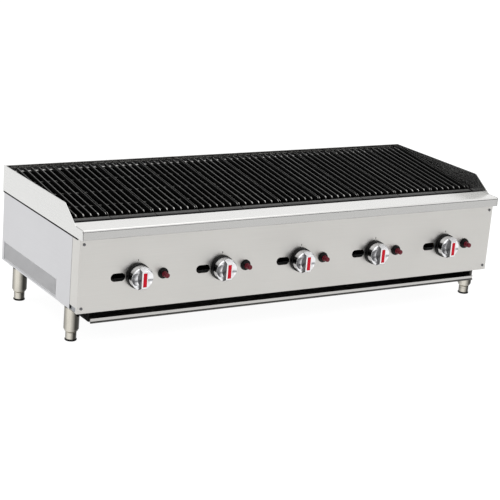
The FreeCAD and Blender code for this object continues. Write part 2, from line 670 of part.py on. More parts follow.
def valve_stem(x):
    """Shaft from the valve's plug to the knob, with the usual flat at the knob end."""
    stem = cylinder(STEM_R, (x, STEM_TIP, CONTROL_Z), AXIS_Y, STEM_END - STEM_TIP)
    flat = box((x - 6, x + 6), (STEM_TIP - 1, -4.5), (CONTROL_Z + 2.6, CONTROL_Z + 6))
    return stem.cut(flat)


# ---- drip tray ----------------------------------------------------------------------------------
TRAY_HALF = 708.0
TRAY_BOTTOM = 72.6
TRAY_TOP = 84.7
TRAY_FRONT = 6.0
TRAY_BACK = 530.0
RUNNER_X = 711.0


def drip_tray():
    """Shallow pan with a full-width front lip that is also its pull."""
    floor = box((-TRAY_HALF, TRAY_HALF), (TRAY_FRONT, TRAY_BACK), (TRAY_BOTTOM, TRAY_BOTTOM + SHEET))
    walls = [box((s * TRAY_HALF, s * (TRAY_HALF - SHEET)), (TRAY_FRONT, TRAY_BACK),
                 (TRAY_BOTTOM, TRAY_TOP)) for s in (-1, 1)]
    walls.append(box((-TRAY_HALF, TRAY_HALF), (TRAY_BACK - SHEET, TRAY_BACK),
                     (TRAY_BOTTOM, TRAY_TOP)))
    walls.append(box((-RUNNER_X, RUNNER_X), (TRAY_FRONT - SHEET, TRAY_FRONT + 0.5),
                     (TRAY_BOTTOM - 2, TRAY_TOP)))
    walls.append(box((-RUNNER_X, RUNNER_X), (TRAY_FRONT - SHEET - 3, TRAY_FRONT),
                     (TRAY_BOTTOM - 2, TRAY_BOTTOM + 1.2)))
    walls.append(box((-RUNNER_X, RUNNER_X), (TRAY_FRONT - SHEET - 1.2, TRAY_FRONT),
                     (TRAY_TOP - 2.2, TRAY_TOP)))
    return floor.multiFuse(walls).removeSplitter()


def tray_runner(side):
    """Hanging rail: a flange under the frame, a web beside the pan and a ledge under it."""
    web_in = RUNNER_X - SHEET
    ledge = TRAY_BOTTOM - 0.4
    outline = [(side * RUNNER_X, ledge - SHEET), (side * RUNNER_X, FRAME_Z),
               (side * (web_in - 20), FRAME_Z), (side * (web_in - 20), FRAME_Z - SHEET),
               (side * web_in, FRAME_Z - SHEET), (side * web_in, ledge),
               (side * (web_in - 18), ledge), (side * (web_in - 18), ledge - SHEET)]
    return plate_y(outline, 18.5, TRAY_BACK - 5)


# ---- legs ---------------------------------------------------------------------------------------
FOOT_STEM_R = 6.0
DISC_R = 18.2
BARREL_R = 16.6
LEG_END = 30.0
PLATE_TOP = FRAME_Z
PLATE_BOTTOM = FRAME_Z - 3.0
BOLT_R = 3.0


def leg_bolt_places(x, y):
    return [(x, y + s * 36) for s in (-1, 1)]


def leg(x, y):
    """Tube with a bevelled lower end, a threaded boss inside it and a plate on top."""
    tube = cylinder(LEG_R, (x, y, LEG_END + 7), AXIS_Z, PLATE_BOTTOM - LEG_END - 7)
    bevel = cone(LEG_R - 3.4, LEG_R, (x, y, LEG_END), AXIS_Z, 7)
    side = 1 if x > 0 else -1
    plate = box((side * (RUNNER_X + 1), side * INNER_HALF), (y - 45, y + 45),
                (PLATE_BOTTOM, PLATE_TOP))
    body = tube.multiFuse([bevel, plate])
    hollow = cylinder(LEG_R - 1.6, (x, y, LEG_END + 22), AXIS_Z, PLATE_BOTTOM - LEG_END - 22)
    thread = cylinder(FOOT_STEM_R + 0.05, (x, y, LEG_END - 1), AXIS_Z, 30)
    bolts = [cylinder(BOLT_R + 0.1, (bx, by, PLATE_BOTTOM - 1), AXIS_Z, 6)
             for bx, by in leg_bolt_places(x, y)]
    return body.cut(Part.makeCompound([hollow, thread] + bolts))


def levelling_foot(x, y):
    """Screw-in foot: base disc, smooth barrel and threaded stem."""
    base = cone(DISC_R - 1, DISC_R, (x, y, 0), AXIS_Z, 1.5)
    disc = cylinder(DISC_R, (x, y, 1.5), AXIS_Z, 3.5)
    barrel = cylinder(BARREL_R, (x, y, 5), AXIS_Z, 21)
    shoulder = cone(BARREL_R, BARREL_R - 1.5, (x, y, 26), AXIS_Z, 1.5)
    stem = cylinder(FOOT_STEM_R, (x, y, 27.5), AXIS_Z, 40)
    return base.multiFuse([disc, barrel, shoulder, stem]).removeSplitter()


# ---- fasteners ----------------------------------------------------------------------------------
def screw(x, y, z, direction, head_r, shank_r, length):
    """Pan-head screw; direction is the way the head faces along Y, the shank goes the other way."""
    axis = AXIS_Y * direction
    head_height = 2.6
    crown = 1.4
    head = cylinder(head_r, (x, y, z), axis, head_height)
    head = head.makeFillet(crown, [e for e in head.Edges
                                   if isinstance(e.Curve, Part.Circle)
                                   and abs(e.CenterOfMass.y - y) > head_height / 2])
    return head.fuse(cylinder(shank_r, (x, y, z), axis * -1, length)).removeSplitter()


def screws():
    """Front panel and back panel screws."""
    found = [screw(x, 0, z, -1, 4.6, SCREW_R, 6) for x, z in panel_screw_places()]
    found += [screw(x, y, z, 1, 4.4, SCREW_R, 4.5) for x, y, z in back_screw_places()]
    return found


def leg_bolts():
    """Hexagon-head bolts up through the leg plates into the side bars."""
    found = []
    for side, _ in SIDES:
        for y in LEG_Y:
            for bx, by in leg_bolt_places(side * LEG_X, y):
                head = cylinder(5.2, (bx, by, PLATE_BOTTOM - 4), AXIS_Z, 4)
                shank = cylinder(BOLT_R, (bx, by, PLATE_BOTTOM - 1), AXIS_Z, 6.5)
                found.append(head.fuse(shank).removeSplitter())
    return found


# ---- build --------------------------------------------------------------------------------------
save("front_panel", front_panel())
for side, label in SIDES:
    save("side_panel_" + label, side_panel(side))
    save("splash_guard_" + label, splash_guard(side))
save("vent_screens", [vent_screen(side) for side, _ in SIDES])
save("back_panel", back_panel())
save("rear_cap", rear_cap())
save("top_rail", top_rail())
save("base_frame", base_frame())
save("corner_posts", corner_posts())
save("tray_runners", [tray_runner(side) for side, _ in SIDES])
save("legs", [leg(side * LEG_X, y) for side, _ in SIDES for y in LEG_Y])
save("firebox_walls", firebox_walls())
save("grate_rails", grate_rails())
save("support_bars", support_bars())
save("burners", [burner(x) for x in MODULE_X])
save("radiants", [radiant(x) for x in MODULE_X])
save("gas_manifold", gas_manifold())
save("gas_inlet", gas_inlet())
save("gas_valves", [gas_valve(x) for x in MODULE_X])
save("orifice_hoods", [orifice_hood(x) for x in MODULE_X])
save("pilot_burners", [pilot_burner(x) for x in MODULE_X])
save("igniter_sockets", [igniter_socket(x) for x in MODULE_X])
save("screws", screws() + leg_bolts())
save("drip_tray", drip_tray())
for number, x in enumerate(MODULE_X, 1):
    save("knob_%d" % number, knob(x))
    save("knob_skirt_%d" % number, knob_skirt(x))
    save("valve_stem_%d" % number, valve_stem(x))
    save("igniter_button_%d" % number, igniter_button(x))
for number, x in enumerate(GRATE_X, 1):
    save("grate_%d" % number, grate(x))
for y, end in zip(LEG_Y, ("front", "rear")):
    for side, label in SIDES:
        save("foot_%s_%s" % (end, label), levelling_foot(side * LEG_X, y))
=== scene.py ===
import math

import bmesh
import bpy
from mathutils import Matrix, Quaternion, Vector


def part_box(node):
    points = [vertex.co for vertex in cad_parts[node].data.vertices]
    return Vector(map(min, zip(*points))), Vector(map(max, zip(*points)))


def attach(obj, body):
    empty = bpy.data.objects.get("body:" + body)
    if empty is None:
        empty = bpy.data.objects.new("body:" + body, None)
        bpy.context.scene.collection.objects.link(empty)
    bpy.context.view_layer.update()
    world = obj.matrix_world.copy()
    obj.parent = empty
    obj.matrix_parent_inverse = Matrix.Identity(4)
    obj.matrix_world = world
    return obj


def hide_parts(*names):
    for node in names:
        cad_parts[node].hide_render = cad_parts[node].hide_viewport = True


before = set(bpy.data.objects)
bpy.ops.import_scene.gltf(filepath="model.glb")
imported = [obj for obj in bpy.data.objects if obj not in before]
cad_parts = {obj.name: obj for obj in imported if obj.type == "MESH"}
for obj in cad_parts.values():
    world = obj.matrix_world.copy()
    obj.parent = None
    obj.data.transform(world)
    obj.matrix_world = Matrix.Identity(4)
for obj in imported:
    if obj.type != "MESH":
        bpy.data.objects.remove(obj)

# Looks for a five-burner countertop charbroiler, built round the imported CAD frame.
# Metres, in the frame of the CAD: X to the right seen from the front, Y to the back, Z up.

bpy.context.view_layer.update()

MODULES = 5
GRATES = 10
ROOT = "cabinet"


# ---- material graphs ----------------------------------------------------------------------------
class Graph:
    """Node tree of one new material, with short calls for the nodes used here."""

    def __init__(self, name, **values):
        self.material = bpy.data.materials.new(name)
        self.material.use_nodes = True
        self.tree = self.material.node_tree
        self.tree.nodes.clear()
        self.shader = self.add("ShaderNodeBsdfPrincipled")
        output = self.add("ShaderNodeOutputMaterial")
        self.feed(output.inputs["Surface"], self.shader.outputs["BSDF"])
        self.place = self.add("ShaderNodeTexCoord").outputs["Object"]
        for socket, value in values.items():
            self.feed(self.shader.inputs[socket.replace("_", " ")], value)

    def add(self, kind, **settings):
        made = self.tree.nodes.new(kind)
        for key, value in settings.items():
            setattr(made, key, value)
        return made

    def feed(self, socket, value):
        """Link an output to a socket, or set the socket's own value."""
        if isinstance(value, bpy.types.NodeSocket):
            self.tree.links.new(value, socket)
        else:
            socket.default_value = value

    def set(self, socket, value):
        self.feed(self.shader.inputs[socket], value)

    def noise(self, stretch, detail=3.0, rough=0.5):
        """Noise with its own scale along each axis, in waves per metre."""
        mapping = self.add("ShaderNodeMapping")
        self.feed(mapping.inputs["Vector"], self.place)
        mapping.inputs["Scale"].default_value = stretch
        made = self.add("ShaderNodeTexNoise")
        self.feed(made.inputs["Vector"], mapping.outputs["Vector"])
        made.inputs["Scale"].default_value = 1.0
        made.inputs["Detail"].default_value = detail
        made.inputs["Roughness"].default_value = rough
        return made.outputs["Fac"]

    def cells(self, scale):
        """Random value for each cell of a broken surface, such as zinc spangle."""
        made = self.add("ShaderNodeTexVoronoi")
        self.feed(made.inputs["Vector"], self.place)
        made.inputs["Scale"].default_value = scale
        split = self.add("ShaderNodeSeparateColor")
        self.feed(split.inputs["Color"], made.outputs["Color"])
        return split.outputs["Red"]

    def remap(self, value, low, high, out_low, out_high):
        made = self.add("ShaderNodeMapRange")
        for index, item in enumerate((value, low, high, out_low, out_high)):
            self.feed(made.inputs[index], item)
        return made.outputs["Result"]

    def math(self, operation, a, b):
        made = self.add("ShaderNodeMath", operation=operation)
        self.feed(made.inputs[0], a)
        self.feed(made.inputs[1], b)
        return made.outputs["Value"]

    def mix(self, factor, a, b):
        made = self.add("ShaderNodeMix", data_type="RGBA")
        self.feed(made.inputs[0], factor)
        self.feed(made.inputs[6], a)
        self.feed(made.inputs[7], b)
        return made.outputs[2]

    def mix_value(self, factor, a, b):
        made = self.add("ShaderNodeMix")
        for index, item in ((0, factor), (2, a), (3, b)):
            self.feed(made.inputs[index], item)
        return made.outputs[0]

    def bump(self, height, distance, strength=1.0):
        made = self.add("ShaderNodeBump")
        made.inputs["Strength"].default_value = strength
        made.inputs["Distance"].default_value = distance
        self.feed(made.inputs["Height"], height)
        self.set("Normal", made.outputs["Normal"])

    def coordinate(self, axis):
        """One coordinate of the point in its own piece, in metres."""
        split = self.add("ShaderNodeSeparateXYZ")
        self.feed(split.inputs["Vector"], self.place)
        return split.outputs[axis]

    def band(self, value, low, high, soft):
        """1 inside two limits, falling to 0 over the soft distance outside them."""
        rising = self.remap(value, low - soft, low, 0.0, 1.0)
        falling = self.remap(value, high, high + soft, 1.0, 0.0)
        return self.math("MULTIPLY", rising, falling)

    def facing(self, direction):
        """Cosine of the angle between the surface normal and a direction of its own piece."""
        dot = self.add("ShaderNodeVectorMath", operation="DOT_PRODUCT")
        self.feed(dot.inputs[0], self.add("ShaderNodeTexCoord").outputs["Normal"])
        dot.inputs[1].default_value = direction
        return dot.outputs["Value"]

    def facing_up(self, low, high):
        """0 to 1 as the surface turns up to face +Z of its own piece."""
        return self.remap(self.facing((0.0, 0.0, 1.0)), low, high, 0.0, 1.0)

    def edge_mask(self, radius, gain=1.0):
        """0 on flat faces, rising on outer and inner edges within the radius."""
        bevel = self.add("ShaderNodeBevel", samples=4)
        bevel.inputs["Radius"].default_value = radius
        facing = self.add("ShaderNodeNewGeometry")
        dot = self.add("ShaderNodeVectorMath", operation="DOT_PRODUCT")
        self.feed(dot.inputs[0], bevel.outputs["Normal"])
        self.feed(dot.inputs[1], facing.outputs["Normal"])
        return self.remap(dot.outputs["Value"], 0.995, 0.86, 0.0, gain)


def shade(colour, factor):
    return [min(1.0, c * factor) for c in colour[:3]] + [1.0]


FINE = 900.0              # brushing lines per metre across the grain, before detail
LONG = 5.0                # and along it
GRAIN = {"x": (LONG, FINE, FINE), "y": (FINE, LONG, FINE), "z": (FINE, FINE, LONG),
         "round": (LONG * 8, LONG * 8, FINE)}


def brushed_steel(name, tint, roughness, grain, depth=0.00002, smudge=0.06, edge=0.10, front=1.0):
    """Brushed stainless sheet: fine lines along the grain, faint wiping marks, edges painted
    brighter as highlight and rubbed wear.

    front darkens the faces that stand upright, as painted shade, so that they stay darker than the
    faces that look up.
    """
    g = Graph(name, Metallic=1.0)
    lines = g.noise(GRAIN[grain], detail=4.0, rough=0.65)
    wiping = g.noise((4.0, 5.0, 7.0), detail=4.0, rough=0.6)
    clouds = g.noise((1.3, 1.3, 2.2), detail=2.0)
    base = g.mix(g.remap(lines, 0.3, 0.7, 0.0, 1.0), shade(tint, 0.955), shade(tint, 1.03))
    base = g.mix(g.remap(clouds, 0.35, 0.65, 0.0, 0.5), base, shade(tint, 0.97))
    # edges painted brighter: part highlight, part rubbed wear
    base = g.mix(g.edge_mask(0.0009, edge), base, (0.95, 0.95, 0.94, 1.0))
    # painted shade on upright faces
    if front < 1.0:
        upright_shade = g.remap(g.facing_up(0.05, 0.5), 0.0, 1.0, 1.0 - front, 0.0)
        base = g.mix(upright_shade, base, (0.0, 0.0, 0.0, 1.0))
    g.set("Base Color", base)
    rough = g.remap(lines, 0.25, 0.75, roughness - 0.05, roughness + 0.05)
    rough = g.math("ADD", rough, g.remap(wiping, 0.45, 0.75, 0.0, smudge))
    g.set("Roughness", rough)
    g.bump(lines, depth, 0.35)
    return g.material


def shaded_greasy_steel(name, tint, lip_back, rim_top):
    """Tray steel: clean on its front lip, painted near black behind y = lip_back as shade under the
    cabinet, with spots of baked grease.

    Below z = rim_top the lip's lowest edge is painted dark, as shade along its bottom.
    """
    g = Graph(name, Metallic=1.0)
    lines = g.noise(GRAIN["x"], detail=4.0, rough=0.65)
    spots = g.noise((60.0, 60.0, 60.0), detail=4.0, rough=0.6)
    # painted shade: near black behind the lip, where the cabinet shades the tray
    shade_behind_lip = g.remap(g.coordinate("Y"), lip_back - 0.0008, lip_back + 0.0008, 0.0, 1.0)
    clean = g.mix(g.remap(lines, 0.3, 0.7, 0.0, 1.0), shade(tint, 0.94), shade(tint, 1.04))
    shade_and_grease = g.mix(g.remap(spots, 0.35, 0.65, 0.0, 1.0), (0.004, 0.004, 0.003, 1),
                   (0.016, 0.014, 0.011, 1))
    # painted shade: dark band along the lip's lowest edge
    rim = g.remap(g.coordinate("Z"), rim_top, rim_top + 0.001, 0.85, 0.0)
    clean = g.mix(rim, clean, (0.03, 0.03, 0.028, 1))
    g.set("Base Color", g.mix(shade_behind_lip, clean, shade_and_grease))
    g.set("Metallic", g.remap(shade_behind_lip, 0.0, 1.0, 1.0, 0.1))
    g.set("Roughness", g.mix_value(shade_behind_lip, g.remap(lines, 0.25, 0.75, 0.26, 0.36), 0.5))
    g.bump(lines, 0.00002, 0.35)
    return g.material


def cast_iron(name, dark, worn, roughness, painted_bands=()):
    """Seasoned casting: sand-cast grain, black flanks, tops worn grey and lightly oily.

    Each (low, high, factor) band along Y in the last argument scales the worn colour of upward
    faces: factors above 1 paint highlights, factors below 1 paint shade.
    """
    g = Graph(name, Metallic=0.0, Specular_IOR_Level=0.16)
    grain = g.noise((900.0, 900.0, 900.0), detail=3.0, rough=0.6)
    lumps = g.noise((160.0, 160.0, 160.0), detail=3.0)
    soot = g.noise((22.0, 14.0, 22.0), detail=4.0, rough=0.6)
    patchy = g.remap(soot, 0.35, 0.68, 0.55, 1.0)
    top = g.math("MULTIPLY", g.facing_up(0.80, 0.97), patchy)
    flank = g.mix(g.remap(lumps, 0.35, 0.65, 0.0, 1.0), shade(dark, 0.7), shade(dark, 1.4))
    base = g.mix(top, flank, worn)
    for low, high, factor in painted_bands:
        # painted highlights and shade, band by band along Y
        here = g.band(g.coordinate("Y"), low, high, 0.001)
        base = g.mix(g.math("MULTIPLY", here, g.facing_up(0.40, 0.75)), base, shade(worn, factor))
    g.set("Base Color", base)
    g.set("Roughness", g.remap(lumps, 0.3, 0.7, roughness - 0.07, roughness + 0.08))
    relief = g.math("ADD", g.math("MULTIPLY", grain, 0.4), lumps)
    g.bump(relief, 0.00020, 0.6)
    return g.material


def chrome(name, tint, roughness, dark_reflection_sides=()):
    """Polished plating with hairline scratches and faint finger film.

    The last argument holds the (x, z, spread) sides of the rim painted near black, as dark
    reflections.
    """
    g = Graph(name, Metallic=1.0)
    hair = g.noise((2600.0, 2600.0, 300.0), detail=2.0)
    film = g.noise((70.0, 70.0, 70.0), detail=3.0)
    base = g.mix(g.remap(film, 0.35, 0.7, 0.0, 1.0), tint, shade(tint, 0.93))
    for x, z, spread in dark_reflection_sides:
        # painted reflection: the rim turns near black on each listed side
        turn = g.facing((x, 0.0, z))
        black = g.remap(turn, 0.995 - spread, 1.0 - spread * 0.8, 0.0, 0.97)
        base = g.mix(black, base, shade(tint, 0.02))
    g.set("Base Color", base)
    g.set("Roughness", g.remap(film, 0.4, 0.75, roughness, roughness + 0.09))
    g.bump(hair, 0.000004, 0.3)
    return g.material


def turned_steel(name, tint, roughness, shadow=None):
    """Lathe-turned tube: faint rings round the axis, with rubbed edges.

    shadow is the (x, y) side painted darker along the whole tube, as shade and dark reflection; the
    opposite side is painted a little darker too.
    """
    g = Graph(name, Metallic=1.0)
    rings = g.noise(GRAIN["round"], detail=3.0, rough=0.6)
    rub = g.noise((30.0, 30.0, 18.0), detail=4.0)
    base = g.mix(g.remap(rub, 0.35, 0.7, 0.0, 1.0), shade(tint, 1.04), shade(tint, 0.88))
    base = g.mix(g.edge_mask(0.0009, 0.35), base, (0.92, 0.90, 0.87, 1.0))
    if shadow:
        # painted shade: dark on the shadow side, less dark on the opposite side
        turn = g.facing((shadow[0], shadow[1], 0.0))
        base = g.mix(g.remap(turn, -0.02, 0.58, 0.0, 0.96), base, shade(tint, 0.03))
        base = g.mix(g.remap(turn, -0.38, -0.95, 0.0, 0.86), base, shade(tint, 0.08))
    g.set("Base Color", base)
    g.set("Roughness", g.remap(rings, 0.3, 0.7, roughness - 0.05, roughness + 0.07))
    g.bump(rings, 0.00002, 0.35)
    return g.material


def galvanised(name, tint):
    """Zinc-coated plate with spangle."""
    g = Graph(name, Metallic=0.9)
    spangle = g.cells(130.0)
    dust = g.noise((25.0, 25.0, 25.0), detail=4.0)
    base = g.mix(spangle, shade(tint, 0.82), shade(tint, 1.12))
    g.set("Base Color", g.mix(g.remap(dust, 0.5, 0.8, 0.0, 0.4), base, shade(tint, 0.6)))
    g.set("Roughness", g.remap(spangle, 0.0, 1.0, 0.34, 0.52))
    g.bump(dust, 0.0001, 0.3)
    return g.material


def moulded(name, tint, roughness, gloss=0.5, texture=0.5):
    """Moulded plastic or enamel: fine orange peel and slightly rubbed edges."""
    g = Graph(name, Metallic=0.0, Specular_IOR_Level=gloss)
    peel = g.noise((1400.0, 1400.0, 1400.0), detail=2.0)
    tone = g.noise((90.0, 90.0, 90.0), detail=3.0)
    base = g.mix(g.remap(tone, 0.3, 0.7, 0.0, 1.0), shade(tint, 0.85), shade(tint, 1.12))
    g.set("Base Color", g.mix(g.edge_mask(0.0006, 0.3), base, shade(tint, 2.2)))
    g.set("Roughness", g.remap(tone, 0.3, 0.7, roughness - 0.06, roughness + 0.08))
    g.bump(peel, 0.00003, texture)
    return g.material


def fired_metal(name, tint, burnt, roughness):
    """Metal near the flames: heat tint and soot in patches over a rough skin."""
    g = Graph(name, Metallic=0.7)
    heat = g.noise((9.0, 6.0, 9.0), detail=4.0, rough=0.6)
    skin = g.noise((500.0, 500.0, 500.0), detail=3.0)
    g.set("Base Color", g.mix(g.remap(heat, 0.36, 0.66, 0.0, 1.0), tint, burnt))
    g.set("Roughness", g.remap(skin, 0.3, 0.7, roughness - 0.08, roughness + 0.1))
    g.bump(skin, 0.00012, 0.5)
    return g.material


# ---- mesh tools ---------------------------------------------------------------------------------
def finish_mesh(bm, name, angle=35.0):
    """Turn a bmesh into a mesh with outward normals, smooth below the angle."""
    bmesh.ops.remove_doubles(bm, verts=bm.verts, dist=1e-6)
    bmesh.ops.recalc_face_normals(bm, faces=bm.faces)
    mesh = bpy.data.meshes.new(name)
    bm.to_mesh(mesh)
    bm.free()
    mesh.shade_smooth()
    mesh.set_sharp_from_angle(angle=math.radians(angle))
    return mesh


def add_piece(name, mesh, material, body, replaced=(), place=None):
    """Make an object of the mesh, riding on a CAD body."""
    piece = bpy.data.objects.new(name, mesh)
    bpy.context.scene.collection.objects.link(piece)
    if place is not None:
        piece.matrix_world = place
    if not mesh.materials:
        mesh.materials.append(material)
    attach(piece, body)
    if replaced:
        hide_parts(*replaced)
    return piece


def loft(bm, rings):
    """Skin over closed rings of points with the same count, with a cap at each end."""
    made = [[bm.verts.new(point) for point in ring] for ring in rings]
    for a, b in zip(made, made[1:]):
        for i in range(len(a)):
            j = (i + 1) % len(a)
            bm.faces.new((a[i], a[j], b[j], b[i]))
    bm.faces.new(made[0][::-1])
    bm.faces.new(made[-1])


def extrude_outline(bm, outline, low, high):
    """Closed prism over an outline of (x, y) points between two heights."""
    loft(bm, [[(x, y, z) for x, y in outline] for z in (low, high)])


def rounded_rectangle(half_x, half_y, radius, steps=4):
    """Outline of (x, y) points with round corners."""
    points = []
    for quarter, (sx, sy) in enumerate(((1, 1), (-1, 1), (-1, -1), (1, -1))):
        for i in range(steps + 1):
            a = math.radians(90 * (quarter + i / steps))
            points.append((sx * (half_x - radius) + radius * math.cos(a),
                           sy * (half_y - radius) + radius * math.sin(a)))
    return points


def lathe(bm, profile, steps=48):
    """Closed solid turned about Z from (radius, z) points that start and end on the axis."""
    rings = []
    for radius, z in profile:
        if radius == 0:
            rings.append([bm.verts.new((0, 0, z))])
        else:
            rings.append([bm.verts.new((radius * math.cos(2 * math.pi * i / steps),
                                        radius * math.sin(2 * math.pi * i / steps), z))
                          for i in range(steps)])
    for a, b in zip(rings, rings[1:]):
        for i in range(steps):
            j = (i + 1) % steps
            corners = [a[i % len(a)], a[j % len(a)], b[j % len(b)], b[i % len(b)]]
            unique = list(dict.fromkeys(corners))
            if len(unique) > 2:
                bm.faces.new(unique)


def boolean(target, cutter, operation):
    """Apply an exact boolean of two meshes and return the new mesh."""
    objects = [bpy.data.objects.new("boolean_part", mesh) for mesh in (target, cutter)]
    for item in objects:
        bpy.context.scene.collection.objects.link(item)
    modifier = objects[0].modifiers.new("boolean", "BOOLEAN")
    modifier.object = objects[1]
    modifier.operation = operation
    modifier.solver = "EXACT"
    graph = bpy.context.evaluated_depsgraph_get()
    result = bpy.data.meshes.new_from_object(objects[0].evaluated_get(graph))
    for item in objects:
        bpy.data.objects.remove(item)
    return result


def islands(node):
    """(low, high) corners of each separate solid in a CAD node."""
    bm = bmesh.new()
    bm.from_mesh(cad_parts[node].data)
    bmesh.ops.remove_doubles(bm, verts=bm.verts, dist=1e-6)
    found = []
    left = set(bm.verts)
    while left:
        stack = [left.pop()]
        group = list(stack)
        while stack:
            for edge in stack.pop().link_edges:
                for vert in edge.verts:
                    if vert in left:
                        left.remove(vert)
                        stack.append(vert)
                        group.append(vert)
        low = Vector([min(v.co[k] for v in group) for k in range(3)])
        high = Vector([max(v.co[k] for v in group) for k in range(3)])
        found.append((low, high))
    bm.free()
    return found


def centre(corners):
    return (corners[0] + corners[1]) / 2


# ---- grates -------------------------------------------------------------------------------------
GRATE_SLOPE = math.radians(7.3)
GRATE_SIZE = (0.1504, 0.427, 0.024)
RIBS = 7
RIB_WIDTH = 0.0060
RIB_TOP = 0.0040          # width of a rib's top
EDGE_TOP = 0.0020         # and of the two outer ribs, which meet the next grate
FRONT_BAR = 0.022
FRONT_TOP = 0.021
TROUGH_END = 0.036
TROUGH_FLOOR = 0.008
REAR_BAR = 0.012
REAR_TOP = 0.014
DRAIN = 0.008


def rib_ring(x, y, low, high, top):
    """Cross-section of a rib: flanks drawn in towards a narrow rounded top."""
    foot = RIB_WIDTH / 2
    half = top / 2
    r = top * 0.3
    k = r * (1 - math.sqrt(0.5))
    return [(x - foot, y, low), (x + foot, y, low), (x + half, y, high - r),
            (x + half - k, y, high - k), (x + half - r, y, high), (x - half + r, y, high),
            (x - half + k, y, high - k), (x - half, y, high - r)]


def grate_mesh():
    """Casting: front bar, drained trough, ribs with rounded ends, rear bar and three cross ties."""
    width, length, top = GRATE_SIZE
    half = width / 2
    pitch = (width - RIB_WIDTH) / (RIBS - 1)
    middles = [-half + RIB_WIDTH / 2 + i * pitch for i in range(RIBS)]
    front = [(FRONT_BAR - 0.001, TROUGH_FLOOR), (TROUGH_END - 0.004, TROUGH_FLOOR + 0.002),
             (TROUGH_END - 0.0025, top - 0.0065), (TROUGH_END - 0.001, top - 0.004),
             (TROUGH_END + 0.0003, top - 0.0022), (TROUGH_END + 0.0020, top - 0.0008),
             (TROUGH_END + 0.0040, top - 0.0002), (TROUGH_END + 0.0060, top)]
    middle = [(length * share, top) for share in (0.2, 0.4, 0.6, 0.8)]
    rear = [(length - 0.0080, top), (length - 0.0062, top - 0.0003),
            (length - 0.0045, top - 0.0010), (length - 0.0032, top - 0.0022),
            (length - 0.0024, top - 0.0042), (length - 0.0020, REAR_TOP - 0.002)]
    bm = bmesh.new()
    for i, x in enumerate(middles):
        at_edge = i in (0, RIBS - 1)
        rings = []
        for y, high in front + middle + rear:
            raised = TROUGH_END + 0.010 < y < length - 0.020
            low = 0.004 if raised and not at_edge else 0.0
            rings.append(rib_ring(x, y, low, high, EDGE_TOP if at_edge else RIB_TOP))
        loft(bm, rings)
    ribs = finish_mesh(bm, "ribs")

    bm = bmesh.new()
    inset = 0.0002
    ties = [length * share for share in (0.28, 0.52, 0.76)]
    spans = [(inset, FRONT_BAR, 0.0, FRONT_TOP),
             (length - REAR_BAR, length - inset, 0.0002, REAR_TOP)]
    spans += [(y, y + 0.009, 0.0042, 0.013) for y in ties]
    for y_1, y_2, z_1, z_2 in spans:
        block = [(-half + inset * 4, y_1), (half - inset * 4, y_1), (half - inset * 4, y_2),
                 (-half + inset * 4, y_2)]
        extrude_outline(bm, block, z_1, z_2)
    long_edges = [e for e in bm.edges if abs((e.verts[0].co - e.verts[1].co).x) > width * 0.8]
    bmesh.ops.bevel(bm, geom=long_edges, offset=0.0015, segments=3, affect="EDGES", profile=0.5)
    bars = finish_mesh(bm, "bars")

    bm = bmesh.new()
    extrude_outline(bm, [(-half + inset, FRONT_BAR - 0.001), (half - inset, FRONT_BAR - 0.001),
                         (half - inset, TROUGH_END), (-half + inset, TROUGH_END)],
                    0.0004, TROUGH_FLOOR)
    trough = finish_mesh(bm, "trough")
    bm = bmesh.new()
    for a, b in zip(middles, middles[1:]):
        x, y = (a + b) / 2, FRONT_BAR + 0.002 + DRAIN / 2
        rounded = [(x + px, y + py) for px, py in rounded_rectangle(DRAIN / 2, DRAIN / 2, 0.002)]
        extrude_outline(bm, rounded, -0.002, TROUGH_FLOOR + 0.002)
    trough = boolean(trough, finish_mesh(bm, "drains"), "DIFFERENCE")

    mesh = boolean(boolean(ribs, bars, "UNION"), trough, "UNION")
    mesh.shade_smooth()
    mesh.set_sharp_from_angle(angle=math.radians(32))
    mesh.materials.clear()
    return mesh


def add_grates(fresh, worn):
    """Ten castings, with every second one less worn than its neighbours."""
    meshes = [grate_mesh() for _ in range(2)]
    lean = FRONT_TOP * math.sin(GRATE_SLOPE)
    for number in range(1, GRATES + 1):
        node = "grate_%d" % number
        low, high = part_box(node)
        corner = Vector(((low.x + high.x) / 2, low.y + lean, low.z))
        place = Matrix.Translation(corner) @ Matrix.Rotation(GRATE_SLOPE, 4, "X")
        odd = number % 2
        add_piece("grate_casting_%d" % number, meshes[odd], worn if odd else fresh, node,
                  [node], place)


# ---- controls -----------------------------------------------------------------------------------
FRONT_FACING = Matrix.Rotation(math.radians(90), 4, "X")     # local Z towards -Y, local Y up


def bevelled_plate(outline, thickness, bevel, name):
    """Flat plate from z = -thickness to 0 with rounded upper edges."""
    bm = bmesh.new()
    extrude_outline(bm, outline, -thickness, 0.0)
    upper = [e for e in bm.edges if min(v.co.z for v in e.verts) > -thickness / 2]
    bmesh.ops.bevel(bm, geom=upper, offset=bevel, segments=3, affect="EDGES", profile=0.5)
    return finish_mesh(bm, name, 50.0)


def add_pointers(material):
    """Red strip in the recess along the front of each knob's bar."""
    half_width, half_length, depth, gap = 0.0060, 0.0212, 0.0008, 0.00005
    mesh = bevelled_plate(rounded_rectangle(half_width, half_length, 0.0009), depth - gap, 0.00025,
                          "pointer")
    for number in range(1, MODULES + 1):
        node = "knob_%d" % number
        low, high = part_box(node)
        spot = Vector(((low.x + high.x) / 2, low.y + gap / 2, (low.z + high.z) / 2))
        add_piece("knob_pointer_%d" % number, mesh, material, node,
                  place=Matrix.Translation(spot) @ FRONT_FACING)


